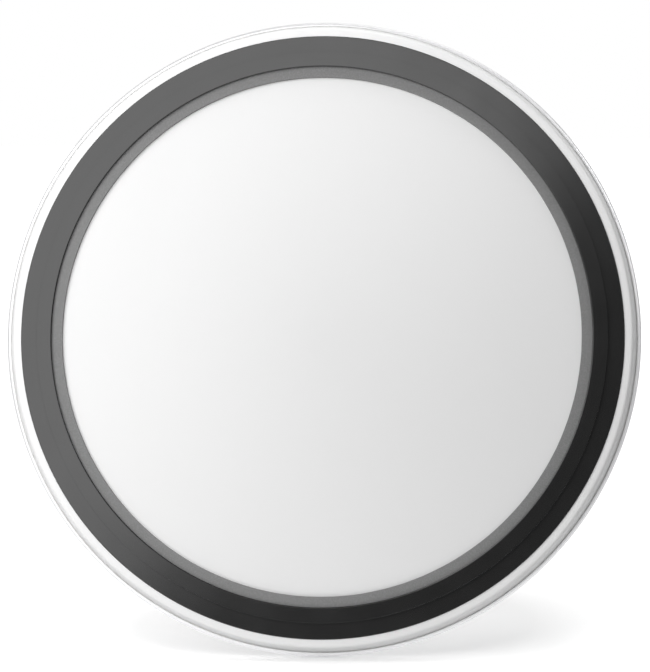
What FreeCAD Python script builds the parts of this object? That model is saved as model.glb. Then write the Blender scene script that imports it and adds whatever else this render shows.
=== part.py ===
import FreeCAD, Part
import Sketcher
import math
import os

# A bass drum head seen from its playing side, standing as it stands on the drum.
# Millimetres. The origin is the centre of the film's back face, which lies on the drum's bearing edge.
# -Y points at the player, +Y into the drum and +Z up. Every piece is a ring or disc about the Y axis.

# Driving dimensions
SIZES = [
    # The flesh hoop: a channel of rolled aluminium whose outer leg leans in over the resin
    ("hoop_outer_radius", "285.8"),
    ("hoop_width", "5.8"),
    ("hoop_depth", "9.5"),
    ("outer_leg_wall", "1.2"),
    ("inner_leg_wall", "1.0"),
    ("web_wall", "1.2"),
    ("inner_leg_drop", "0.4"),
    ("outer_leg_lean", "2.3"),
    ("resin_recess", "1.0"),
    # The film: a flat disc, a round shoulder and a sloping collar that runs down into the channel
    ("film_thickness", "0.25"),
    ("collar_height", "13.0"),
    ("collar_bend_radius", "3.0"),
    ("crown_inset", "1.4"),
    ("film_side_gap", "1.5"),
    ("film_edge_gap", "1.5"),
    # The adhesive ring and the black pocket ring that it holds on the film
    ("tape_thickness", "0.2"),
    ("tape_inset", "0.8"),
    ("pocket_margin", "5.1"),
    ("flange_width", "14.5"),
    ("lip_width", "12.8"),
    ("pocket_wall", "0.8"),
    ("riser_run", "0.4"),
    ("lip_bevel_width", "0.9"),
    ("lip_edge_wall", "0.3"),
    # The foam damping ring in the pocket
    ("foam_thickness", "3.6"),
    ("foam_show", "9.6"),
    ("foam_clearance", "0.5"),
    ("lip_gap", "1.8"),
]

# Radii and depths that several pieces share, as sums of the driving dimensions
HOOP_INNER = "hoop_outer_radius - hoop_width"
CHANNEL_INNER = HOOP_INNER + " + inner_leg_wall"
CHANNEL_OUTER = "hoop_outer_radius - outer_leg_wall"
HOOP_REAR = "collar_height + hoop_depth"
CHANNEL_FLOOR = HOOP_REAR + " - web_wall"
INNER_TIP = "collar_height + inner_leg_drop"
OUTER_TIP = CHANNEL_OUTER + " - outer_leg_lean"
RESIN_FRONT = "collar_height + resin_recess"
FLAT_RADIUS = HOOP_INNER + " - crown_inset - collar_bend_radius"
FILM_EDGE_RADIUS = CHANNEL_OUTER + " - film_side_gap"
FILM_EDGE_DEPTH = CHANNEL_FLOOR + " - film_edge_gap"
FILM_FRONT = "- film_thickness"
TAPE_FRONT = FILM_FRONT + " - tape_thickness"
FOAM_FRONT = FILM_FRONT + " - foam_thickness"
FLANGE_FRONT = TAPE_FRONT + " - pocket_wall"
LIP_REAR = FOAM_FRONT + " - lip_gap"
LIP_FRONT = LIP_REAR + " - pocket_wall"
POCKET_OUTER = FLAT_RADIUS + " - pocket_margin"
RISER_FOOT = POCKET_OUTER + " - flange_width"
RISER_HEAD = RISER_FOOT + " - riser_run"
LIP_INNER = RISER_HEAD + " - pocket_wall - lip_width"
FOAM_OUTER = RISER_HEAD + " - pocket_wall - foam_clearance"
FOAM_INNER = LIP_INNER + " - foam_show"

# The points of a sketch's lines and arcs, by Sketcher's numbering
START = 1
END = 2
CENTRE = 3
ORIGIN = -1
UPRIGHT = -2
NORMAL = FreeCAD.Vector(0, 0, 1)

document = FreeCAD.newDocument("drum_head")
sheet = document.addObject("Spreadsheet::Sheet", "Sizes")
for row, (alias, value) in enumerate(SIZES, start=1):
    sheet.set(f"A{row}", alias)
    sheet.set(f"B{row}", value)
    sheet.setAlias(f"B{row}", alias)
document.recompute()


def amount(total):
    """The number that a sum of named sizes comes to."""
    sign, result = 1, 0
    for word in total.split():
        if word in "+-":
            sign = 1 if word == "+" else -1
        else:
            result += sign * sheet.get(word)
    return result


def bound(total):
    """The same sum as an expression on the sheet's cells."""
    return " ".join(word if word in "+-" else "Sizes." + word for word in total.split())


def new_body(label):
    """A body and its empty profile sketch, with radius across and depth up the sketch."""
    body = document.addObject("PartDesign::Body", label)
    body.Label = label
    profile = body.newObject("Sketcher::SketchObject", label + "_profile")
    plane = next(item for item in body.Origin.OriginFeatures if item.Role == "XY_Plane")
    profile.AttachmentSupport = (plane, [""])
    profile.MapMode = "FlatFace"
    return body, profile


def tie(profile, kind, point, total):
    """Hold one coordinate of a sketch point at a sum of named sizes, measured from the origin."""
    origin = (ORIGIN, START)
    value = amount(total)
    first, second = (origin, point) if value > 0 else (point, origin)
    constraint = profile.addConstraint(Sketcher.Constraint(kind, *first, *second, abs(value)))
    expression = bound(total) if value > 0 else f"-({bound(total)})"
    profile.setExpression(f"Constraints[{constraint}]", expression)


def vector(across, depth):
    return FreeCAD.Vector(across, depth, 0)


def polygon(profile, corners):
    """A closed outline of straight lines whose corners are pairs of sums."""
    points = [vector(amount(across), amount(depth)) for across, depth in corners]
    lines = [
        profile.addGeometry(Part.LineSegment(point, points[(place + 1) % len(points)]))
        for place, point in enumerate(points)
    ]
    for place, line in enumerate(lines):
        profile.addConstraint(Sketcher.Constraint("Coincident", lines[place - 1], END, line, START))
        tie(profile, "DistanceX", (line, START), corners[place][0])
        tie(profile, "DistanceY", (line, START), corners[place][1])


def rectangle(profile, inner, outer, front, rear):
    polygon(profile, [(inner, front), (outer, front), (outer, rear), (inner, rear)])


def turned(body, profile):
    """The profile turned once round the head's axis."""
    ring = body.newObject("PartDesign::Revolution", body.Label + "_turn")
    ring.Profile = profile
    ring.ReferenceAxis = (profile, ["V_Axis"])


def make_hoop():
    """A channel with a low inner leg beside the shell and an outer leg that leans in and keys the resin."""
    body, profile = new_body("hoop")
    inner_tip = [(HOOP_INNER, INNER_TIP), (CHANNEL_INNER, INNER_TIP)]
    floor = [(CHANNEL_INNER, CHANNEL_FLOOR), (CHANNEL_OUTER, CHANNEL_FLOOR)]
    front = [(OUTER_TIP, "collar_height"), ("hoop_outer_radius", "collar_height")]
    rear = [("hoop_outer_radius", HOOP_REAR), (HOOP_INNER, HOOP_REAR)]
    polygon(profile, inner_tip + floor + front + rear)
    turned(body, profile)
    return body


def make_film():
    """One sheet: flat to the shoulder, round the bend, then straight down the collar into the resin."""
    body, profile = new_body("film")
    bend_radius = amount("collar_bend_radius")
    thickness = amount("film_thickness")
    bend_centre = vector(amount(FLAT_RADIUS), bend_radius)
    edge_point = vector(amount(FILM_EDGE_RADIUS), amount(FILM_EDGE_DEPTH))
    reach = edge_point - bend_centre
    slope = math.acos(bend_radius / reach.Length) - math.atan2(reach.y, reach.x)
    outward = vector(math.cos(slope), -math.sin(slope))

    def side(offset):
        """One face of the sheet in section: the flat, the bend and the collar wall."""
        flat_end = vector(bend_centre.x, -offset)
        wall_start = bend_centre + outward * (bend_radius + offset)
        wall_end = edge_point + outward * offset
        circle = Part.Circle(bend_centre, NORMAL, bend_radius + offset)
        flat = profile.addGeometry(Part.LineSegment(vector(0, -offset), flat_end))
        bend = profile.addGeometry(Part.ArcOfCircle(circle, -math.pi / 2, -slope))
        wall = profile.addGeometry(Part.LineSegment(wall_start, wall_end))
        profile.addConstraint(Sketcher.Constraint("Horizontal", flat))
        profile.addConstraint(Sketcher.Constraint("Tangent", flat, END, bend, START))
        profile.addConstraint(Sketcher.Constraint("Tangent", bend, END, wall, START))
        return flat, bend, wall, wall_end

    back_flat, back_bend, back_wall, back_end = side(0)
    front_flat, front_bend, front_wall, front_end = side(thickness)
    axis_edge = profile.addGeometry(Part.LineSegment(vector(0, -thickness), vector(0, 0)))
    cut_edge = profile.addGeometry(Part.LineSegment(back_end, front_end))
    for first, second in (
        ((back_flat, START), (ORIGIN, START)),
        ((axis_edge, END), (back_flat, START)),
        ((axis_edge, START), (front_flat, START)),
        ((cut_edge, START), (back_wall, END)),
        ((cut_edge, END), (front_wall, END)),
        ((front_bend, CENTRE), (back_bend, CENTRE)),
    ):
        profile.addConstraint(Sketcher.Constraint("Coincident", *first, *second))
    profile.addConstraint(Sketcher.Constraint("PointOnObject", front_flat, START, UPRIGHT))
    profile.addConstraint(Sketcher.Constraint("Parallel", back_wall, front_wall))
    profile.addConstraint(Sketcher.Constraint("Perpendicular", back_wall, cut_edge))
    tie(profile, "DistanceY", (front_flat, START), FILM_FRONT)
    tie(profile, "DistanceX", (back_bend, CENTRE), FLAT_RADIUS)
    tie(profile, "DistanceY", (back_bend, CENTRE), "collar_bend_radius")
    tie(profile, "DistanceX", (back_wall, END), FILM_EDGE_RADIUS)
    tie(profile, "DistanceY", (back_wall, END), FILM_EDGE_DEPTH)
    turned(body, profile)
    return body


def make_resin(hoop, film):
    """The channel's fill, cast against the leaning leg and round the film's edge, so both are cut out of it."""
    fill, profile = new_body("resin_fill")
    rectangle(profile, CHANNEL_INNER, CHANNEL_OUTER, RESIN_FRONT, CHANNEL_FLOOR)
    turned(fill, profile)
    cast = document.addObject("Part::Cut", "resin_in_hoop")
    cast.Base = fill
    cast.Tool = hoop
    resin = document.addObject("Part::Cut", "resin")
    resin.Label = "resin"
    resin.Base = cast
    resin.Tool = film
    return resin


def make_tape_ring():
    """Thin double-sided adhesive, a little narrower than the flange that it holds."""
    body, profile = new_body("tape_ring")
    inner = RISER_FOOT + " + tape_inset"
    rectangle(profile, inner, POCKET_OUTER + " - tape_inset", TAPE_FRONT, FILM_FRONT)
    turned(body, profile)
    return body


def make_pocket_ring():
    """A formed strip: the stuck flange, a riser that leans inwards, and a lip that thins to its edge."""
    body, profile = new_body("pocket_ring")
    rear_face = [
        (POCKET_OUTER, TAPE_FRONT),
        (RISER_FOOT + " - pocket_wall", TAPE_FRONT),
        (RISER_HEAD + " - pocket_wall", LIP_REAR),
        (LIP_INNER, LIP_REAR),
    ]
    front_face = [
        (LIP_INNER, LIP_REAR + " - lip_edge_wall"),
        (LIP_INNER + " + lip_bevel_width", LIP_FRONT),
        (RISER_HEAD, LIP_FRONT),
        (RISER_FOOT, FLANGE_FRONT),
        (POCKET_OUTER, FLANGE_FRONT),
    ]
    polygon(profile, rear_face + front_face)
    turned(body, profile)
    return body


def make_foam_ring():
    """A die-cut flat ring that lies on the film with its outer part under the lip."""
    body, profile = new_body("foam_ring")
    rectangle(profile, FOAM_INNER, FOAM_OUTER, FOAM_FRONT, FILM_FRONT)
    turned(body, profile)
    return body


hoop = make_hoop()
film = make_film()
pieces = [
    hoop,
    film,
    make_resin(hoop, film),
    make_tape_ring(),
    make_pocket_ring(),
    make_foam_ring(),
]
document.recompute()

for item in document.Objects:
    if "Invalid" in item.State or "Error" in item.State:
        raise RuntimeError(f"{item.Label} failed: {item.State}")
for piece in pieces:
    if piece.Shape.isNull() or not piece.Shape.isValid() or len(piece.Shape.Solids) != 1:
        raise RuntimeError(f"{piece.Label} is not one valid solid")

os.makedirs("parts", exist_ok=True)
for piece in pieces:
    piece.Shape.exportStep(f"parts/{piece.Label}.step")
    box = piece.Shape.BoundBox
    print(f"{piece.Label}: {piece.Shape.Volume:.1f} mm3, Y {box.YMin:.2f} to {box.YMax:.2f}, X to {box.XMax:.2f}")
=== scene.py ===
# %% [markdown]
# # A bass drum head, dressed for a product photograph
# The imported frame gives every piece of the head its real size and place: a white film in an aluminium
# hoop, a black ring stuck on the film, and a grey foam ring that the black ring holds. All of them are
# rings about one axis, the Y axis of the frame, so this lesson turns each one from its own section.
# The CAD surfaces are made of short flats. Here they are made again with far more steps, rounded corners
# and finishes, so that the light runs smoothly round them.

# %% Load the frame
import math
import bmesh
import bpy
from mathutils import Matrix, Vector, noise


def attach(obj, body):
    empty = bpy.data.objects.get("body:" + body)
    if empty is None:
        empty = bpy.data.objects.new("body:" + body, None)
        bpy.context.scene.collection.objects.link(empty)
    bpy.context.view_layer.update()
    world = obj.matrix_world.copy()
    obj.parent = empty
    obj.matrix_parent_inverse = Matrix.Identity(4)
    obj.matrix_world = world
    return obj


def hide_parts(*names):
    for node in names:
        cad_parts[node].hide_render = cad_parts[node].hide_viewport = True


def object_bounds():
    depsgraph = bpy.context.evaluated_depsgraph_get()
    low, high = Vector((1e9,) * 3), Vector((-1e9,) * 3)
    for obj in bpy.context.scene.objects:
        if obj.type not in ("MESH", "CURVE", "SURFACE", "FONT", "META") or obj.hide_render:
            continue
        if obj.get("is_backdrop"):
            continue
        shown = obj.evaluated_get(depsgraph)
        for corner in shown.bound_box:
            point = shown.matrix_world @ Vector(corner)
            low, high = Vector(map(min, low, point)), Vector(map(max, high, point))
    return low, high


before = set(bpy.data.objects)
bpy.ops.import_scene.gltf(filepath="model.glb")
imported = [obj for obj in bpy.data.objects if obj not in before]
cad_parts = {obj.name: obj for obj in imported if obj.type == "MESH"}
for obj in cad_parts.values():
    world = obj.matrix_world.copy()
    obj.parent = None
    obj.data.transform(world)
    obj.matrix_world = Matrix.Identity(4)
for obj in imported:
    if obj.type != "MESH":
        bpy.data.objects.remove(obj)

cad_low, cad_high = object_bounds()

# %% [markdown]
# ## Reading sizes from the frame
# A ring is known by four numbers: its inner and outer radius and where it starts and ends along the axis.
# They could be typed again, but then the picture and the solids would drift apart when a size changes, so
# a small function reads them from each node's own points. The film gets a fifth number: how far its flat
# back reaches before the shoulder begins.

# %% Measure the rings
MM = 0.001
FLAT_TOLERANCE = 0.01 * MM


def radius_of(point):
    """How far a point lies from the head's axis."""
    return math.hypot(point.x, point.z)


def ring(node):
    """A node's inner and outer radius and its front and rear along the axis, in metres."""
    points = [vertex.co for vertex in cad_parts[node].data.vertices]
    radii = [radius_of(point) for point in points]
    depths = [point.y for point in points]
    return {"inner": min(radii), "outer": max(radii), "front": min(depths), "rear": max(depths)}


hoop, film, resin = ring("hoop"), ring("film"), ring("resin")
pocket, foam, tape = ring("pocket_ring"), ring("foam_ring"), ring("tape_ring")
film["flat"] = max(
    radius_of(vertex.co)
    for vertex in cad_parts["film"].data.vertices
    if abs(vertex.co.y) < FLAT_TOLERANCE
)
for name, sizes in (("hoop", hoop), ("film", film), ("pocket", pocket), ("foam", foam)):
    print(name, {key: round(value / MM, 2) for key, value in sizes.items()}, "mm")

# %% [markdown]
# ## The photographer's place
# The head stands on its rim and the camera looks at its face from a little right of and below the axis:
# the white collar shows wider at the lower right than at the upper left. The angles follow from that, and
# the lens from the width of the hoop in the picture. The picture is taller than it is wide, so the long
# side of the sensor lies along its height. The aim is a few pixels off the hoop's centre, as the framing
# of the picture asks.

# %% Camera
PHOTO_HEIGHT_PX = 672
HOOP_WIDTH_PX = 635.2
AIM_RIGHT_PX = 2.9
AIM_ABOVE_PX = 1.1
CAMERA_DISTANCE = 2.6
CAMERA_AZIMUTH = math.radians(4.3)
CAMERA_ELEVATION = math.radians(-4.5)

hoop_centre = Vector((0, (hoop["front"] + hoop["rear"]) / 2, 0))
pixel = 2 * hoop["outer"] / HOOP_WIDTH_PX
towards_camera = Vector((
    math.sin(CAMERA_AZIMUTH) * math.cos(CAMERA_ELEVATION),
    -math.cos(CAMERA_AZIMUTH) * math.cos(CAMERA_ELEVATION),
    math.sin(CAMERA_ELEVATION),
))
camera = bpy.data.objects.new("camera", bpy.data.cameras.new("camera"))
bpy.context.scene.collection.objects.link(camera)
aim = hoop_centre + Vector((AIM_RIGHT_PX, 0, AIM_ABOVE_PX)) * pixel
camera.location = aim + towards_camera * CAMERA_DISTANCE
camera.rotation_euler = (-towards_camera).to_track_quat("-Z", "Y").to_euler()
camera.data.lens = camera.data.sensor_width * CAMERA_DISTANCE / (PHOTO_HEIGHT_PX * pixel)
bpy.context.scene.camera = camera
print("lens", round(camera.data.lens, 1), "mm at", CAMERA_DISTANCE, "m")

# %% [markdown]
# ## Turning a section
# A lathe is the way to think of every piece here. The section is drawn as one flat face with sharp
# corners, each corner is rounded by a vertex bevel as wide as the real bend, and the outline is spun once
# round the axis. Spin leaves a doubled seam and doubled points on the axis, so those are merged. A side of a
# section that lies on the axis makes no face, only a loose edge, so that is deleted, and the normals are
# worked out afresh. Weighted normals then keep the broad flats flat beside the small roundings.

# %% The lathe
TURN_STEPS = 288
CORNER_STEPS = 6
MERGE_DISTANCE = 0.002 * MM
SHARP_ANGLE = math.radians(28)
# At 50 all faces count by their size, and at 100 the broad flats decide.
FLATS_DECIDE = 100


def spun(corners, subdivisions):
    """A closed mesh spun from a section: corners of (radius, depth, rounding), all in metres."""
    mesh = bmesh.new()
    mesh.faces.new([mesh.verts.new((radius, depth, 0)) for radius, depth, _ in corners])
    mesh.verts.ensure_lookup_table()
    rounded = [(mesh.verts[place], corner[2]) for place, corner in enumerate(corners) if corner[2]]
    for vertex, rounding in rounded:
        bmesh.ops.bevel(mesh, geom=[vertex], offset=rounding, offset_type="OFFSET", affect="VERTICES",
                        segments=CORNER_STEPS, profile=0.5, material=-1)
    bmesh.ops.delete(mesh, geom=mesh.faces[:], context="FACES_KEEP_BOUNDARY")
    if subdivisions:
        bmesh.ops.subdivide_edges(mesh, edges=mesh.edges[:], cuts=subdivisions)
    bmesh.ops.spin(mesh, geom=mesh.verts[:] + mesh.edges[:], cent=(0, 0, 0), axis=(0, 1, 0),
                   angle=2 * math.pi, steps=TURN_STEPS, use_merge=True)
    bmesh.ops.remove_doubles(mesh, verts=mesh.verts[:], dist=MERGE_DISTANCE)
    bmesh.ops.delete(mesh, geom=[edge for edge in mesh.edges if edge.is_wire], context="EDGES")
    bmesh.ops.recalc_face_normals(mesh, faces=mesh.faces[:])
    return mesh


def turned(name, corners, subdivisions=0):
    """A piece turned from its section, smooth but for its sharp corners."""
    mesh = spun(corners, subdivisions)
    closed = all(edge.is_manifold for edge in mesh.edges)
    data = bpy.data.meshes.new(name)
    mesh.to_mesh(data)
    mesh.free()
    data.shade_smooth()
    data.set_sharp_from_angle(angle=SHARP_ANGLE)
    piece = bpy.data.objects.new(name, data)
    bpy.context.scene.collection.objects.link(piece)
    weighted = piece.modifiers.new("weighted_normals", "WEIGHTED_NORMAL")
    weighted.keep_sharp = True
    weighted.weight = FLATS_DECIDE
    print(name, len(data.polygons), "faces, closed:", closed)
    return piece


# %% [markdown]
# ## Writing finishes
# Every finish is a Principled shader with a few texture nodes. Colours are written as the hex values that
# a paint chart would give, and one function turns them to the linear light that a shader wants. Pattern
# scales are worked out from a real size: a texture with a feature every s metres has a scale near 1 / s.

# %% Shader helpers


def colour(code):
    """An sRGB hex value as linear RGBA."""
    values = [int(code[place:place + 2], 16) / 255 for place in (1, 3, 5)]
    return [v / 12.92 if v <= 0.04045 else ((v + 0.055) / 1.055) ** 2.4 for v in values] + [1]


def scale_for(millimetres):
    """The texture scale that repeats a feature at a real size."""
    return 1 / (millimetres * MM)


def add(tree, kind, inputs=(), **settings):
    """Add one node, set its own settings, then set or link its inputs."""
    node = tree.nodes.new(kind)
    for key, value in settings.items():
        setattr(node, key, value)
    for key, value in dict(inputs).items():
        if isinstance(value, bpy.types.NodeSocket):
            tree.links.new(value, node.inputs[key])
        else:
            node.inputs[key].default_value = value
    return node


def finish_named(name):
    """A new material: its tree, its Principled shader and Object coordinates."""
    material = bpy.data.materials.new(name)
    material.use_nodes = True
    tree = material.node_tree
    shader = tree.nodes["Principled BSDF"]
    place = add(tree, "ShaderNodeTexCoord").outputs["Object"]
    return material, tree, shader, place


print("white is", [round(value, 3) for value in colour("#ffffff")])

# %% [markdown]
# ## The film
# The playing surface is one sheet of clear polyester film, a quarter of a millimetre thick, with a white
# coat sprayed on its front. Heat has pressed its edge into a round shoulder and a collar that slopes down
# into the hoop. The section is the sheet itself: the back, the edge in the resin and the front. The
# shoulder is a bevel whose tangent length comes from the bend's radius and the turn that the collar makes
# there. The front lies outside the bend, so its corner moves out and its bevel grows by the same shift.

# %% Film
FILM_BEND = 3.0 * MM
film_wall = -film["front"]
collar_turn = math.atan2(film["rear"], film["outer"] - film["flat"])
bend_length = FILM_BEND * math.tan(collar_turn / 2)
wall_shift = film_wall * math.tan(collar_turn / 2)
film_corner = film["flat"] + bend_length
collar_lean = math.atan2(film["outer"] - film_corner, film["rear"])
edge_across = film_wall * math.cos(collar_lean)
edge_along = film_wall * math.sin(collar_lean)
film_section = [
    (0, 0, 0),
    (film_corner, 0, bend_length),
    (film["outer"] - edge_across, film["rear"], 0),
    (film["outer"], film["rear"] - edge_along, 0),
    (film_corner + wall_shift, film["front"], bend_length + wall_shift),
    (0, film["front"], 0),
]
coated_film = turned("coated_film", film_section)

# %% [markdown]
# ## Tones from the middle to the rim
# Both sides of the film change a little in tone from the middle to the rim: on the front this is painted
# light and shade, on the back it is what lies on the front showing through. Painting that by hand would need
# an image, and a gradient along one axis would not be round. So two vector nodes measure the distance from
# the head's axis, and a colour ramp has one stop for each tone at its own radius.

# %% Tones by radius


def radius_from(tree, place):
    """The distance from the head's axis."""
    across = add(tree, "ShaderNodeVectorMath", {0: place, 1: (1, 0, 1)}, operation="MULTIPLY")
    length = add(tree, "ShaderNodeVectorMath", {0: across.outputs["Vector"]}, operation="LENGTH")
    return length.outputs["Value"]


def tone_by_radius(tree, place, tones):
    """A colour ramp that runs from the middle to the rim through tones given at their radii."""
    start, end = tones[0][0], tones[-1][0]
    across = add(tree, "ShaderNodeMapRange", {"Value": radius_from(tree, place), "From Min": start,
                                              "From Max": end})
    ramp = add(tree, "ShaderNodeValToRGB", {"Fac": across.outputs["Result"]})
    for _ in tones[2:]:
        ramp.color_ramp.elements.new(0.5)
    for stop, (radius, code) in zip(ramp.color_ramp.elements, tones):
        stop.position = (radius - start) / (end - start)
        stop.color = colour(code)
    return ramp


# %% [markdown]
# ## The white coat
# The coat is a satin white, sprayed in a fine mist. Its colour is painted light and shade: a touch darker in
# the middle and lighter under the black ring and on the collar, as the lamps fall on the head. The satin
# comes from the roughness, which the grain varies a little. A noise texture seldom comes near 0 or 1, so
# this finish and the next ones spread its middle part over the values that they need.

# %% Coat
NOISE_MIDDLE = {"From Min": 0.3, "From Max": 0.7}
POLYESTER_IOR = 1.6
COAT_ROUGHNESS = (0.30, 0.38)
# Painted light and shade: the middle is darker and the rim lighter, as the lamps fall on the head.
COAT_TONES_WITH_PAINTED_LIGHT = [
    (0.0, "#dfdfdf"),
    (pocket["inner"], "#e7e7e7"),
    (pocket["outer"], "#f1f1f1"),
]


def sprayed_coat():
    """White satin coat sprayed on polyester: an even, very fine grain that spreads the light softly, on a
    colour with painted light and shade, darker in the middle and lighter at the rim.
    """
    material, tree, shader, place = finish_named("sprayed_white_coat_with_painted_light")
    # Real spray grain is about 0.2 mm across. It is drawn at 1.2 mm so that it shows at all.
    grain = add(tree, "ShaderNodeTexNoise", {"Vector": place, "Scale": scale_for(1.2), "Detail": 3.0,
                                             "Roughness": 0.6})
    # This ramp paints light and shade: darker in the middle, lighter under the ring and on the collar.
    tone = tone_by_radius(tree, place, COAT_TONES_WITH_PAINTED_LIGHT)
    satin = add(tree, "ShaderNodeMapRange", {"Value": grain.outputs["Fac"], **NOISE_MIDDLE,
                                             "To Min": COAT_ROUGHNESS[0], "To Max": COAT_ROUGHNESS[1]})
    relief = add(tree, "ShaderNodeBump", {"Height": grain.outputs["Fac"], "Strength": 0.12,
                                          "Distance": 0.05 * MM})
    tree.links.new(tone.outputs["Color"], shader.inputs["Base Color"])
    tree.links.new(satin.outputs["Result"], shader.inputs["Roughness"])
    tree.links.new(relief.outputs["Normal"], shader.inputs["Normal"])
    shader.inputs["IOR"].default_value = POLYESTER_IOR
    return material


white_coat = sprayed_coat()
print(white_coat.name, "has", len(white_coat.node_tree.nodes), "nodes")

# %% [markdown]
# ## Dressing a piece
# A piece made here stands in for its CAD node, which is hidden but still there for collision. It gets a
# finish of its own, and it moves with the node's body. Every piece needs the same few calls, so one function
# makes them, and the film is the first to be dressed.

# %% Dress the film


def dress(piece, node, body, material):
    """Put a finish on a piece, let it stand for its CAD node and move with that node's body."""
    piece.data.materials.append(material)
    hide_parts(node)
    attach(piece, body)
    print(piece.name, "stands for", node, "and rides on", body)


dress(coated_film, "film", "head", white_coat)

# %% [markdown]
# ## The back of the film
# Behind, the polyester is bare: smooth and glossy, with the white coat seen through it. The coat is thin,
# so what lies on the front darkens it a little, the foam hardly and the stuck-down black flange more. A
# second material does this, given to every face that looks backwards, with a ramp over the radius again.

# %% Film back
BACK_ROUGHNESS = (0.14, 0.20)
TONE_EDGE = 1.0 * MM
BACK_TONES = [
    (foam["inner"] - TONE_EDGE, "#e8e8e9"),
    (foam["inner"] + TONE_EDGE, "#e2e2e3"),
    (tape["inner"] - TONE_EDGE, "#dedee0"),
    (tape["inner"] + TONE_EDGE, "#cacacc"),
    (pocket["outer"] - TONE_EDGE, "#cacacc"),
    (pocket["outer"] + TONE_EDGE, "#e8e8e9"),
]


def bare_polyester():
    """The film's uncoated side: clear, smooth polyester, so the gloss is sharp and only gently uneven."""
    material, tree, shader, place = finish_named("bare_polyester_over_white_coat")
    tone = tone_by_radius(tree, place, BACK_TONES)
    drawn = add(tree, "ShaderNodeTexNoise", {"Vector": place, "Scale": scale_for(18), "Detail": 2.0})
    gloss = add(tree, "ShaderNodeMapRange", {"Value": drawn.outputs["Fac"], **NOISE_MIDDLE,
                                             "To Min": BACK_ROUGHNESS[0], "To Max": BACK_ROUGHNESS[1]})
    tree.links.new(tone.outputs["Color"], shader.inputs["Base Color"])
    tree.links.new(gloss.outputs["Result"], shader.inputs["Roughness"])
    shader.inputs["IOR"].default_value = POLYESTER_IOR
    return material


coated_film.data.materials.append(bare_polyester())
for face in coated_film.data.polygons:
    face.material_index = int(face.normal.y > 0)
print("back faces", sum(face.material_index for face in coated_film.data.polygons))

# %% [markdown]
# ## The flesh hoop
# The hoop is a channel of aluminium, rolled into a circle. Its outer leg leans in over the front and leaves
# only a fine seam for the film. A plain box would do from far off, but the front corner is what shows: it
# rolls the light from the seam, which is dark, to the rim, which mirrors the white backdrop. So every
# corner gets a rounding of its own, and the front one is by far the largest.

# %% Hoop
LEG_WALL_OUTER = 1.2 * MM
LEG_WALL_INNER = 1.0 * MM
INNER_LEG_DROP = 0.4 * MM
OUTER_LEG_LEAN = 2.3 * MM
FRONT_ROUND = 3.0 * MM
TIP_ROUND = 0.3 * MM
BACK_ROUND = 0.8 * MM
inner_tip = hoop["front"] + INNER_LEG_DROP
channel_inner = hoop["inner"] + LEG_WALL_INNER
channel_outer = hoop["outer"] - LEG_WALL_OUTER
hoop_section = [
    (hoop["inner"], inner_tip, TIP_ROUND),
    (channel_inner, inner_tip, TIP_ROUND),
    (channel_inner, resin["rear"], 0),
    (channel_outer, resin["rear"], 0),
    (channel_outer - OUTER_LEG_LEAN, hoop["front"], TIP_ROUND),
    (hoop["outer"], hoop["front"], FRONT_ROUND),
    (hoop["outer"], hoop["rear"], BACK_ROUND),
    (hoop["inner"], hoop["rear"], BACK_ROUND),
]
flesh_hoop = turned("flesh_hoop", hoop_section)

# %% [markdown]
# ## Rolled aluminium
# The hoop keeps the finish that the rolling mill gave it: bright but blurred, with fine marks that run
# round the circle. A noise texture would lie in all directions, so it reads the radius and the depth
# instead of the place: its value is then the same all the way round, which draws the marks as rings.

# %% Hoop finish
ALUMINIUM_ROUGHNESS = (0.46, 0.54)


def rolled_aluminium():
    """Mill-finish aluminium, rolled to a circle: fine marks run round it and blur what it mirrors."""
    material, tree, shader, place = finish_named("rolled_mill_aluminium")
    depth = add(tree, "ShaderNodeSeparateXYZ", {"Vector": place}).outputs["Y"]
    along = add(tree, "ShaderNodeCombineXYZ", {"X": radius_from(tree, place), "Y": depth})
    # Roll marks are about 0.1 mm apart. They are drawn at 0.4 mm so that they show.
    marks = add(tree, "ShaderNodeTexNoise", {"Vector": along.outputs["Vector"], "Scale": scale_for(0.4),
                                             "Detail": 2.0})
    blur = add(tree, "ShaderNodeMapRange", {"Value": marks.outputs["Fac"], **NOISE_MIDDLE,
                                            "To Min": ALUMINIUM_ROUGHNESS[0],
                                            "To Max": ALUMINIUM_ROUGHNESS[1]})
    relief = add(tree, "ShaderNodeBump", {"Height": marks.outputs["Fac"], "Strength": 0.05,
                                          "Distance": 0.02 * MM})
    tree.links.new(blur.outputs["Result"], shader.inputs["Roughness"])
    tree.links.new(relief.outputs["Normal"], shader.inputs["Normal"])
    shader.inputs["Base Color"].default_value = colour("#eeeeef")
    shader.inputs["Metallic"].default_value = 1.0
    return material


dress(flesh_hoop, "hoop", "head", rolled_aluminium())

# %% [markdown]
# ## The resin
# The film's edge is cast into resin that fills the channel. Only a glint of it can be seen down the seam,
# so its CAD solid stays as it is and just gets a finish.

# %% Resin
RESIN_TONES = [(0.35, "#d8d8d6"), (0.65, "#e6e6e4")]


def cast_resin():
    """Pale cast epoxy: smooth and glossy, with faint clouds where it set unevenly."""
    material, tree, shader, place = finish_named("cast_pale_epoxy")
    cloud = add(tree, "ShaderNodeTexNoise", {"Vector": place, "Scale": scale_for(6), "Detail": 3.0})
    tone = add(tree, "ShaderNodeValToRGB", {"Fac": cloud.outputs["Fac"]})
    for stop, (position, code) in zip(tone.color_ramp.elements, RESIN_TONES):
        stop.position = position
        stop.color = colour(code)
    tree.links.new(tone.outputs["Color"], shader.inputs["Base Color"])
    shader.inputs["Roughness"].default_value = 0.28
    shader.inputs["IOR"].default_value = 1.55
    return material


def finish_node(node, material):
    """Put a finish on a CAD solid that stays in the picture."""
    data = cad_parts[node].data
    data.materials.clear()
    data.materials.append(material)
    print(node, "keeps its CAD solid, in", material.name)


finish_node("resin", cast_resin())

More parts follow.
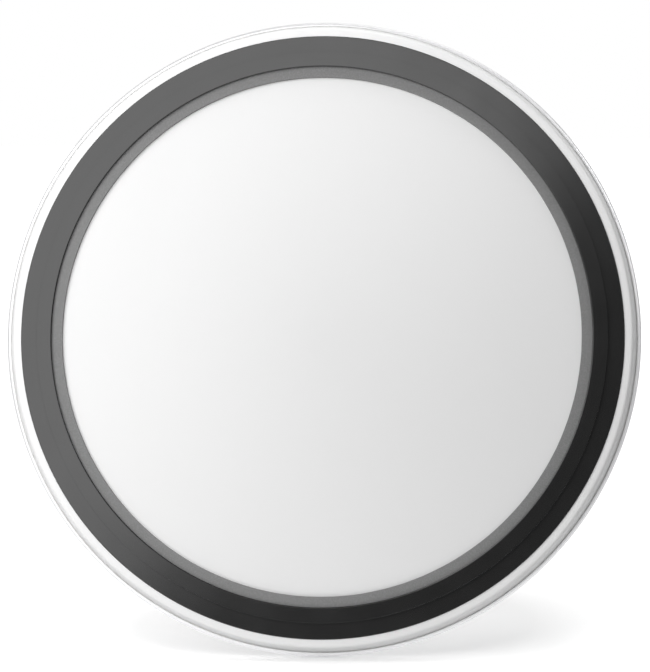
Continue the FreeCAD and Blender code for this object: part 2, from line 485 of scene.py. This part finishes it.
# %% [markdown]
# ## The black pocket ring
# A strip of black plastic is formed into a step: a flange stuck to the film, a short riser, and a lip that
# reaches in over the foam. From the front only the fine circle of the riser tells the flange from the lip,
# and a bevel along the lip's edge draws a dark line beside the foam. The flange's cut edge is the softest
# corner, the hidden bends are tighter, and the creases that have to show as lines are nearly sharp, so the
# section has three sizes of rounding.

# %% Pocket ring
POCKET_WALL = 0.8 * MM
FLANGE_WIDTH = 14.5 * MM
RISER_RUN = 0.4 * MM
LIP_BEVEL = 0.9 * MM
LIP_EDGE = 0.3 * MM
BEND_ROUND = 0.3 * MM
CREASE_ROUND = 0.1 * MM
CUT_ROUND = 0.6 * MM
riser_foot = pocket["outer"] - FLANGE_WIDTH
riser_head = riser_foot - RISER_RUN
lip_rear = pocket["front"] + POCKET_WALL
flange_front = pocket["rear"] - POCKET_WALL
pocket_section = [
    (pocket["outer"], pocket["rear"], 0),
    (riser_foot - POCKET_WALL, pocket["rear"], BEND_ROUND),
    (riser_head - POCKET_WALL, lip_rear, BEND_ROUND / 2),
    (pocket["inner"], lip_rear, 0),
    (pocket["inner"], lip_rear - LIP_EDGE, LIP_EDGE / 2),
    (pocket["inner"] + LIP_BEVEL, pocket["front"], CREASE_ROUND),
    (riser_head, pocket["front"], CREASE_ROUND),
    (riser_foot, flange_front, CREASE_ROUND),
    (pocket["outer"], flange_front, CUT_ROUND),
]
black_ring = turned("black_pocket_ring", pocket_section)

# %% [markdown]
# ## Black sheet plastic
# Black plastic has next to no colour of its own to show. What the eye reads is the sheen of the lights in
# its skin: grey where it mirrors the soft box, black where it mirrors the dim side of the room. So the base
# colour is very dark, the roughness is low, and broad, faint waves keep the sheen from looking machined.

# %% Pocket ring finish
PLASTIC_ROUGHNESS = (0.21, 0.24)


def formed_black_plastic():
    """Black sheet plastic, heat formed: a satin skin with the faint unevenness of a pressed sheet."""
    material, tree, shader, place = finish_named("formed_black_sheet_plastic")
    # The sheet's skin has a grain near 0.3 mm. It is drawn at 0.9 mm so that it shows.
    skin = add(tree, "ShaderNodeTexNoise", {"Vector": place, "Scale": scale_for(0.9), "Detail": 2.0})
    waves = add(tree, "ShaderNodeTexNoise", {"Vector": place, "Scale": scale_for(35), "Detail": 1.0})
    gloss = add(tree, "ShaderNodeMapRange", {"Value": waves.outputs["Fac"], **NOISE_MIDDLE,
                                             "To Min": PLASTIC_ROUGHNESS[0],
                                             "To Max": PLASTIC_ROUGHNESS[1]})
    relief = add(tree, "ShaderNodeBump", {"Height": skin.outputs["Fac"], "Strength": 0.1,
                                          "Distance": 0.04 * MM})
    tree.links.new(gloss.outputs["Result"], shader.inputs["Roughness"])
    tree.links.new(relief.outputs["Normal"], shader.inputs["Normal"])
    shader.inputs["Base Color"].default_value = colour("#121212")
    shader.inputs["IOR"].default_value = 1.58
    return material


dress(black_ring, "pocket_ring", "head", formed_black_plastic())

# %% [markdown]
# ## The adhesive ring
# Between the flange and the film lies a thin double-sided adhesive ring. It is hidden but for a hairline
# under the flange's edge, so its CAD solid stays and only gets a finish.

# %% Adhesive ring
ADHESIVE_TONES = [(0.0, "#dcdad4"), (1.0, "#ebe9e4")]


def adhesive_film():
    """White transfer adhesive on a paper-thin carrier, dull and a little mottled."""
    material, tree, shader, place = finish_named("white_transfer_adhesive")
    mottle = add(tree, "ShaderNodeTexNoise", {"Vector": place, "Scale": scale_for(2.5), "Detail": 2.0})
    tone = add(tree, "ShaderNodeValToRGB", {"Fac": mottle.outputs["Fac"]})
    for stop, (position, code) in zip(tone.color_ramp.elements, ADHESIVE_TONES):
        stop.position = position
        stop.color = colour(code)
    tree.links.new(tone.outputs["Color"], shader.inputs["Base Color"])
    shader.inputs["Roughness"].default_value = 0.6
    return material


finish_node("tape_ring", adhesive_film())

# %% [markdown]
# ## The foam ring
# The damping ring is die cut from grey open-cell foam and lies loose in the pocket. Foam never lies quite
# flat: its face ripples by about a tenth of a millimetre and its cut edge is soft. The section is finely
# divided before it is turned, and every point is then moved a little inwards along its own normal by smooth
# noise, which gives the same shape on each run and never swells the ring past its CAD solid.

# %% Foam
FOAM_EDGE_ROUND = 0.7 * MM
FOAM_DIVISIONS = 3
FOAM_RIPPLE = 0.12 * MM
FOAM_RIPPLE_SIZE = 14 * MM
foam_section = [
    (foam["inner"], foam["front"], FOAM_EDGE_ROUND),
    (foam["outer"], foam["front"], FOAM_EDGE_ROUND),
    (foam["outer"], foam["rear"], FOAM_EDGE_ROUND / 2),
    (foam["inner"], foam["rear"], FOAM_EDGE_ROUND / 2),
]
damping_foam = turned("damping_foam", foam_section, subdivisions=FOAM_DIVISIONS)
foam_normals = [vertex.normal.copy() for vertex in damping_foam.data.vertices]
for vertex, normal in zip(damping_foam.data.vertices, foam_normals):
    vertex.co += normal * FOAM_RIPPLE * (noise.noise(vertex.co / FOAM_RIPPLE_SIZE) - 1)
damping_foam.data.update()

# %% [markdown]
# ## Open-cell foam
# Seen close, foam is a mass of open pores, lighter on the walls and darker where a pore goes in. Cells from
# a Voronoi texture, broken up by noise, give both the speckle and the relief, and a very dull surface keeps
# any sheen away.

# %% Foam finish
FOAM_TONES = [(0.05, "#7b7b7b"), (0.4, "#898989")]


def open_cell_foam():
    """Grey open-cell polyurethane foam: a dull surface of tiny pores, darker where they open."""
    material, tree, shader, place = finish_named("open_cell_polyurethane_foam")
    # The cells of such foam are about 0.5 mm. They are drawn at 1.1 mm so that the speckle shows.
    cells = add(tree, "ShaderNodeTexVoronoi", {"Vector": place, "Scale": scale_for(1.1)})
    fibres = add(tree, "ShaderNodeTexNoise", {"Vector": place, "Scale": scale_for(2.0), "Detail": 4.0,
                                              "Roughness": 0.7})
    mixed = add(tree, "ShaderNodeMath", {0: cells.outputs["Distance"], 1: fibres.outputs["Fac"]},
                operation="MULTIPLY")
    tone = add(tree, "ShaderNodeValToRGB", {"Fac": mixed.outputs["Value"]})
    for stop, (position, code) in zip(tone.color_ramp.elements, FOAM_TONES):
        stop.position = position
        stop.color = colour(code)
    relief = add(tree, "ShaderNodeBump", {"Height": mixed.outputs["Value"], "Strength": 0.5,
                                          "Distance": 0.25 * MM})
    tree.links.new(tone.outputs["Color"], shader.inputs["Base Color"])
    tree.links.new(relief.outputs["Normal"], shader.inputs["Normal"])
    shader.inputs["Roughness"].default_value = 0.95
    shader.inputs["Specular IOR Level"].default_value = 0.2
    return material


dress(damping_foam, "foam_ring", "foam", open_cell_foam())

# %% [markdown]
# ## The floor
# The head stands on its rim on white paper. In the picture it leans back a little, which shows in the soft
# shadow behind it. The head has to stay where the frame puts it, so the floor leans instead: a very large
# disc, turned about the head's foot.

# %% Floor
FLOOR_REACH = 40.0
FLOOR_SIDES = 64
FLOOR_SLOPE = math.radians(9)
floor_foot = Vector((0, hoop["rear"], -hoop["outer"]))
floor_mesh = bmesh.new()
bmesh.ops.create_circle(floor_mesh, cap_ends=True, segments=FLOOR_SIDES, radius=FLOOR_REACH)
bmesh.ops.rotate(floor_mesh, verts=floor_mesh.verts[:], cent=(0, 0, 0),
                 matrix=Matrix.Rotation(FLOOR_SLOPE, 3, "X"))
bmesh.ops.translate(floor_mesh, verts=floor_mesh.verts[:], vec=floor_foot)
bmesh.ops.recalc_face_normals(floor_mesh, faces=floor_mesh.faces[:])
floor_data = bpy.data.meshes.new("floor")
floor_mesh.to_mesh(floor_data)
floor_mesh.free()
floor = bpy.data.objects.new("floor", floor_data)
bpy.context.scene.collection.objects.link(floor)
floor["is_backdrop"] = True
print("floor faces up:", floor_data.polygons[0].normal.z > 0)

# %% [markdown]
# ## The paper's colour and glow
# Paper that is only lit never meets a white backdrop without a line. So for the camera it glows as well:
# weakly in the shadow behind the head, which stays visible, and at full white further out. The Light Path
# node tells the kinds of ray apart, so the glow that the head mirrors and the glow that lights it can be
# weaker. A patch in front of the head lights the foot of the film, and the paper on that side is duller for
# the light that it throws back, so that the collar keeps its shade. Places and distances are in metres.

# %% Paper
PAPER_WHITE = "#fafafa"
PAPER_DULL = "#c4c4c4"
DULL_ENDS = (0.05, 0.15)
SHADE_CENTRE = Vector((0, 0.20, -hoop["outer"]))
SHADE_RADII = (0.19, 0.50)
SEEN_GLOW = (0.15, 1.0)
MIRRORED_GLOW = (0.24, 0.05)
PATCH_CENTRE = Vector((0, -0.30, -hoop["outer"]))
PATCH_RADII = (0.15, 0.35)
PATCH_GLOW = (0.6, 0.0)


def paper_colour(tree, path, place):
    """White paper, duller in front of the head for the light that it throws back."""
    depth = add(tree, "ShaderNodeSeparateXYZ", {"Vector": place}).outputs["Y"]
    front = add(tree, "ShaderNodeMapRange", {"Value": depth, "From Min": DULL_ENDS[0],
                                             "From Max": DULL_ENDS[1], "To Min": 1.0, "To Max": 0.0})
    dull = add(tree, "ShaderNodeMath", {0: path.outputs["Is Diffuse Ray"], 1: front.outputs["Result"]},
               operation="MULTIPLY")
    paper = add(tree, "ShaderNodeMix", {"Factor": dull.outputs["Value"], "A": colour(PAPER_WHITE),
                                        "B": colour(PAPER_DULL)}, data_type="RGBA")
    return paper.outputs["Result"]


def glow_around(tree, place, centre, radii, levels):
    """A glow that goes from one level to another between two distances from a point of the floor."""
    away = add(tree, "ShaderNodeVectorMath", {0: place, 1: centre}, operation="DISTANCE")
    level = add(tree, "ShaderNodeMapRange", {"Value": away.outputs["Value"], "From Min": radii[0],
                                             "From Max": radii[1], "To Min": levels[0],
                                             "To Max": levels[1]})
    return level.outputs["Result"]


def paper_glow(tree, path, place):
    """The glow that the camera sees, the one that gloss mirrors and the one that lights the head."""
    seen = glow_around(tree, place, SHADE_CENTRE, SHADE_RADII, SEEN_GLOW)
    mirrored = glow_around(tree, place, SHADE_CENTRE, SHADE_RADII, MIRRORED_GLOW)
    patch = glow_around(tree, place, PATCH_CENTRE, PATCH_RADII, PATCH_GLOW)
    cast = add(tree, "ShaderNodeMix", {"Factor": path.outputs["Is Glossy Ray"], "A": patch, "B": mirrored})
    glow = add(tree, "ShaderNodeMix", {"Factor": path.outputs["Is Camera Ray"],
                                       "A": cast.outputs["Result"], "B": seen})
    return glow.outputs["Result"]


print("the paper glows from", SEEN_GLOW[0], "in the shade to", SEEN_GLOW[1], "outside it")

# %% [markdown]
# ## The paper floor
# The paper is dull and has no gloss at all, so only its colour and its glow are left to set. One thing is
# added for views from low down behind the head: there the sloping floor would stand in front of it, so the
# camera looks straight through the underside of the paper. Light doesn't: the floor stays solid for it.

# %% Paper floor


def seen_from_above(tree, path, shader):
    """The floor's shader, clear for camera rays that come from below."""
    side = add(tree, "ShaderNodeNewGeometry")
    below = add(tree, "ShaderNodeMath", {0: side.outputs["Backfacing"], 1: path.outputs["Is Camera Ray"]},
                operation="MULTIPLY")
    clear = add(tree, "ShaderNodeBsdfTransparent")
    one_sided = add(tree, "ShaderNodeMixShader", {"Fac": below.outputs["Value"],
                                                  1: shader.outputs["BSDF"], 2: clear.outputs["BSDF"]})
    return one_sided.outputs["Shader"]


def white_paper():
    """Uncoated white paper: dull, with no sheen to mirror the head."""
    material, tree, shader, place = finish_named("white_paper_floor")
    path = add(tree, "ShaderNodeLightPath")
    tree.links.new(paper_colour(tree, path, place), shader.inputs["Base Color"])
    tree.links.new(paper_glow(tree, path, place), shader.inputs["Emission Strength"])
    shader.inputs["Emission Color"].default_value = colour("#ffffff")
    shader.inputs["Roughness"].default_value = 0.9
    shader.inputs["Specular IOR Level"].default_value = 0.0
    output = tree.nodes["Material Output"]
    tree.links.new(seen_from_above(tree, path, shader), output.inputs["Surface"])
    return material


floor_data.materials.append(white_paper())
print("the floor is", floor_data.materials[0].name)

# %% [markdown]
# ## The room
# Everything that isn't floor is the room. It is bright behind the head, where the white backdrop hangs, dim
# behind the camera and dimmer still at the right, and the hoop and the black ring mirror just that. A world
# shader can do all of it: the direction of a ray is its texture coordinate, a ramp along Y sets the level
# and a second range along X dims the right. The camera itself always sees plain white.

# %% Room light
ROOM_LEVELS = [(-0.40, 0.20), (0.05, 0.80), (0.25, 0.90)]
ROOM_RIGHT = 0.6
RIGHT_BEGINS = 0.1
RIGHT_ENDS = 0.7
world = bpy.data.worlds.new("studio_room")
bpy.context.scene.world = world
world.use_nodes = True
tree = world.node_tree
room = tree.nodes["Background"]
direction = add(tree, "ShaderNodeTexCoord").outputs["Generated"]
towards = add(tree, "ShaderNodeSeparateXYZ", {"Vector": direction})
share = add(tree, "ShaderNodeMapRange", {"Value": towards.outputs["Y"], "From Min": -1.0, "From Max": 1.0})
ramp = add(tree, "ShaderNodeValToRGB", {"Fac": share.outputs["Result"]})
ramp.color_ramp.elements.new(0.5)
for stop, (backwards, strength) in zip(ramp.color_ramp.elements, ROOM_LEVELS):
    stop.position = (backwards + 1) / 2
    stop.color = (strength, strength, strength, 1)
dim = add(tree, "ShaderNodeMapRange", {"Value": towards.outputs["X"], "From Min": RIGHT_BEGINS,
                                       "From Max": RIGHT_ENDS, "To Min": 1.0, "To Max": ROOM_RIGHT})
lit = add(tree, "ShaderNodeMath", {0: ramp.outputs["Color"], 1: dim.outputs["Result"]},
          operation="MULTIPLY")
path = add(tree, "ShaderNodeLightPath")
seen = add(tree, "ShaderNodeMath", {0: path.outputs["Is Camera Ray"],
                                    1: path.outputs["Is Transmission Ray"]}, operation="MAXIMUM")
level = add(tree, "ShaderNodeMix", {"Factor": seen.outputs["Value"], "A": lit.outputs["Value"], "B": 1.0})
tree.links.new(level.outputs["Result"], room.inputs["Strength"])
room.inputs["Color"].default_value = colour("#ffffff")
print("room levels from front to back", [strength for _, strength in ROOM_LEVELS])

# %% [markdown]
# ## The lamps
# One large soft box stands in front of the head at the upper left: it makes the film fade from white at the
# upper left to pale grey at the lower right, and it shows as a broad sheen on that side of the black ring. A
# second one hangs overhead. It is split in two at the same place, because the hoop would mirror all of it as
# a blank white: the fill lights the head but isn't mirrored. A card at the right does the opposite: it shows
# only as the fine light on the hoop there. The Standard view then shows each colour as it is written.

# %% Lamps
OVERHEAD = {"place": (0.3, -0.25, 1.2), "turn": (-12, 12, 0), "width": 0.7, "length": 0.55}


def soft_box(name, place, turn, width, length, level, diffuse=True, glossy=True):
    """An area lamp. Its face shines at a level, where 1 is white, and its power follows from its size.

    diffuse says whether it lights dull surfaces, and glossy whether gloss and metal mirror it.
    """
    data = bpy.data.lights.new(name, "AREA")
    data.shape = "RECTANGLE"
    data.size = width
    data.size_y = length
    data.energy = math.pi * width * length * level
    lamp = bpy.data.objects.new(name, data)
    lamp.location = place
    lamp.rotation_euler = [math.radians(angle) for angle in turn]
    lamp.visible_camera = False
    lamp.visible_diffuse = diffuse
    lamp.visible_glossy = glossy
    bpy.context.scene.collection.objects.link(lamp)
    print(name, round(data.energy, 1), "W")


soft_box("side_box", place=(-0.718, -0.943, 0.523), turn=(90, -45, 0), width=1.14, length=1.65, level=2.6)
soft_box("rim_card", place=(0.9, -0.6, 0.52), turn=(62, 0, 56), width=0.5, length=0.75, level=2.5,
         diffuse=False)
soft_box("top_box", level=2.0, **OVERHEAD)
soft_box("top_fill", level=3.5, glossy=False, **OVERHEAD)
bpy.context.scene.view_settings.view_transform = "Standard"

# %% [markdown]
# ## A last look at the size
# Dressing must not make the head any larger.

# %% Compare the boxes and finish
low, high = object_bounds()
for name, corners in (("CAD", (cad_low, cad_high)), ("dressed", (low, high))):
    print(name, "size", [round((end - start) / MM, 1) for start, end in zip(*corners)], "mm")
